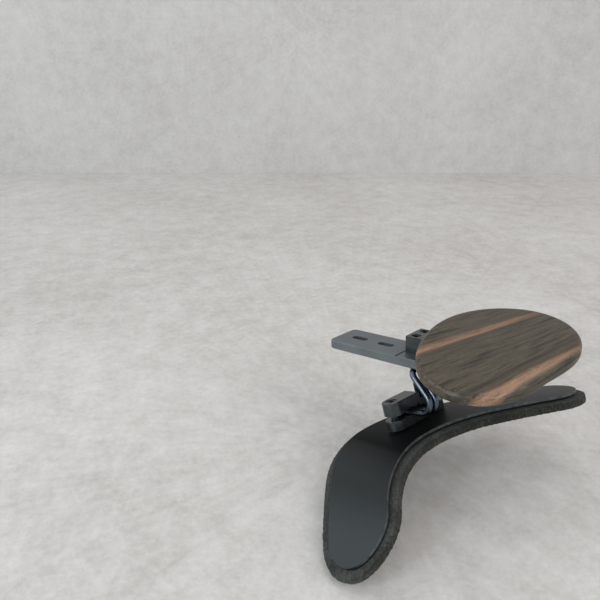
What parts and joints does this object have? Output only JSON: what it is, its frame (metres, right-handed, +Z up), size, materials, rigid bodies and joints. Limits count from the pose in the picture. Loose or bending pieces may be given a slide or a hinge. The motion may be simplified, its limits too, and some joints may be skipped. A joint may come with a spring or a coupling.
{
  "type": "violin shoulder rest",
  "caption": "Violin shoulder rest: arched foam-backed plate clamped to bent rods under a tail bracket, with a wooden chin plate on a tilting arm.",
  "frame": {"origin": "centre of the two screw slots in the tail bracket, on the face that touches the violin's underside", "axes": "+Z up, out of the bracket's top face into the violin; +Y along the violin towards the scroll; +X towards the treble side"},
  "size_m": [0.1456, 0.1167, 0.0887],
  "materials": {
    "bracket_grey": "satin grey anodised",
    "black_metal": "satin black anodised",
    "black_screw": "blackened steel",
    "rod_steel": "blued, polished",
    "washer_steel": "bright steel",
    "plate_black": "satin black powder coat",
    "liner_black": "hook-and-loop web",
    "foam_olive": "open-cell foam, rough cut",
    "ebony": "striped ebony, oiled",
    "felt_dark": "felt"
  },
  "bodies": {
    "bracket": {"tail_bracket": "bracket_grey", "rod_saddle": "black_metal", "saddle_screws": "black_screw", "chin_block": "black_metal", "block_screws": "black_screw", "tilt_bolt": "black_screw", "tilt_washers": "washer_steel", "tilt_nut": "black_screw"},
    "rods": {"rod_near": "rod_steel", "rod_far": "rod_steel"},
    "clamp": {"clamp_lower": "black_metal", "clamp_upper": "black_metal", "jaw_spacer": "black_screw", "end_screw": "black_screw", "knob_washer": "black_screw"},
    "thumb": {"thumb_knob": "black_screw"},
    "pad": {"back_plate": "plate_black", "foam_liner": "liner_black", "foam_pad": "foam_olive", "pivot_screw": "black_screw", "pivot_washer": "washer_steel"},
    "chin_lever": {"chin_arm": "black_metal"},
    "chin_rest": {"chin_plate": "ebony", "chin_boss": "black_metal", "boss_screws": "black_screw", "swivel_washer": "felt_dark", "swivel_bolt": "black_screw"}
  },
  "joints": [
    {"name": "rod_shift", "type": "slide", "parent": "bracket", "child": "rods", "axis": [1, 0, 0], "range_m": [-0.003, 0.003]},
    {"name": "clamp_slide", "type": "slide", "parent": "rods", "child": "clamp", "axis": [0.1604, 0.9533, -0.2559], "range_m": [-0.003, 0.003]},
    {"name": "thumb_turn", "type": "hinge", "parent": "clamp", "child": "thumb", "pos_m": [0.00336, -0.0271, -0.02149], "axis": [-0.0035, 0.2598, 0.9657], "continuous": true},
    {"name": "pad_swivel", "type": "hinge", "parent": "clamp", "child": "pad", "pos_m": [-0.00914, -0.02826, -0.03365], "axis": [-0.0035, 0.2598, 0.9657], "range_deg": [-15, 15]},
    {"name": "chin_tilt", "type": "hinge", "parent": "bracket", "child": "chin_lever", "pos_m": [0.003, -0.037, 0.0048], "axis": [1, 0, 0], "range_deg": [-12, 8]},
    {"name": "chin_swivel", "type": "hinge", "parent": "chin_lever", "child": "chin_rest", "pos_m": [0.00072, -0.06395, 0.00829], "axis": [-0.2122, -0.0908, 0.973], "range_deg": [-20, 20]}
  ]
}
